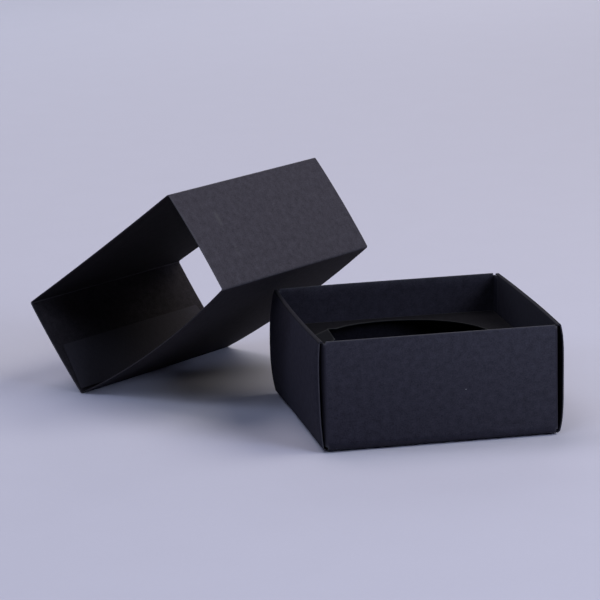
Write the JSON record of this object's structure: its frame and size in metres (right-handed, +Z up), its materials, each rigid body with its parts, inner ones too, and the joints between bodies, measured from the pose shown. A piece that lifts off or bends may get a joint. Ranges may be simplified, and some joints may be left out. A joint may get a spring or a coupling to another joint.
{
  "type": "sliding presentation box",
  "caption": "Square black card presentation box: a folded tray with a raised insert and a round well, and its open-ended sleeve leaning on the tray's rear corner.",
  "frame": {"origin": "centre of the tray's underside, on the surface that the box stands on", "axes": "+X along the tray's front wall to the right, +Y towards its rear wall, +Z up"},
  "size_m": [0.1741, 0.1768, 0.0803],
  "materials": {
    "tray_card": "matte",
    "insert_card": "matte",
    "sleeve_card": "matte"
  },
  "bodies": {
    "tray": {"tray_base": "tray_card", "tray_front_left_corner_tab": "tray_card", "tray_front_right_corner_tab": "tray_card", "tray_front_wall": "tray_card", "tray_left_inner_wall": "tray_card", "tray_left_outer_wall": "tray_card", "tray_left_rim_strip": "tray_card", "tray_rear_left_corner_tab": "tray_card", "tray_rear_right_corner_tab": "tray_card", "tray_rear_wall": "tray_card", "tray_right_inner_wall": "tray_card", "tray_right_outer_wall": "tray_card", "tray_right_rim_strip": "tray_card"},
    "insert_left_leg": {"insert_left_leg": "insert_card"},
    "insert": {"insert_platform": "insert_card"},
    "insert_right_leg": {"insert_right_leg": "insert_card"},
    "thumb_tab": {"insert_thumb_tab": "insert_card"},
    "sleeve_left": {"sleeve_glue_flap": "sleeve_card", "sleeve_left_panel": "sleeve_card"},
    "sleeve": {"sleeve_lower_panel": "sleeve_card"},
    "sleeve_right": {"sleeve_right_panel": "sleeve_card"},
    "sleeve_top": {"sleeve_top_panel": "sleeve_card"}
  },
  "joints": [
    {"name": "sleeve_slide", "type": "slide", "parent": "tray", "child": "sleeve", "axis": [-0.7615, -0.6481, 0], "range_m": [0, 0.085]},
    {"name": "sleeve_left_fold", "type": "hinge", "parent": "sleeve", "child": "sleeve_left", "pos_m": [-0.11391, 0.06113, 0.00066], "axis": [0.7615, 0.6481, 0], "range_deg": [0, 75]},
    {"name": "sleeve_top_fold", "type": "hinge", "parent": "sleeve_left", "child": "sleeve_top", "pos_m": [-0.1292, 0.07909, 0.03122], "axis": [0.7615, 0.6481, 0], "range_deg": [-75, 0]},
    {"name": "sleeve_right_fold", "type": "hinge", "parent": "sleeve", "child": "sleeve_right", "pos_m": [-0.06785, 0.007, 0.04907], "axis": [0.7615, 0.6481, 0], "range_deg": [0, 75]},
    {"name": "insert_lift", "type": "slide", "parent": "tray", "child": "insert", "axis": [0, 0, 1], "range_m": [0, 0.0137]},
    {"name": "insert_left_leg_fold", "type": "hinge", "parent": "insert", "child": "insert_left_leg", "pos_m": [-0.0402, 0, 0.0246], "axis": [0, -1, 0], "range_deg": [0, 50]},
    {"name": "insert_right_leg_fold", "type": "hinge", "parent": "insert", "child": "insert_right_leg", "pos_m": [0.0402, 0, 0.0246], "axis": [0, 1, 0], "range_deg": [0, 80]},
    {"name": "thumb_tab_bend", "type": "hinge", "parent": "insert", "child": "thumb_tab", "pos_m": [-0.02969, 0.02582, 0.0249], "axis": [-0.6428, -0.766, 0], "range_deg": [0, 70]}
  ],
  "couplings": [
    {"joint": "sleeve_top_fold", "follows": "sleeve_left_fold", "ratio": -1},
    {"joint": "sleeve_right_fold", "follows": "sleeve_left_fold", "ratio": 1}
  ]
}
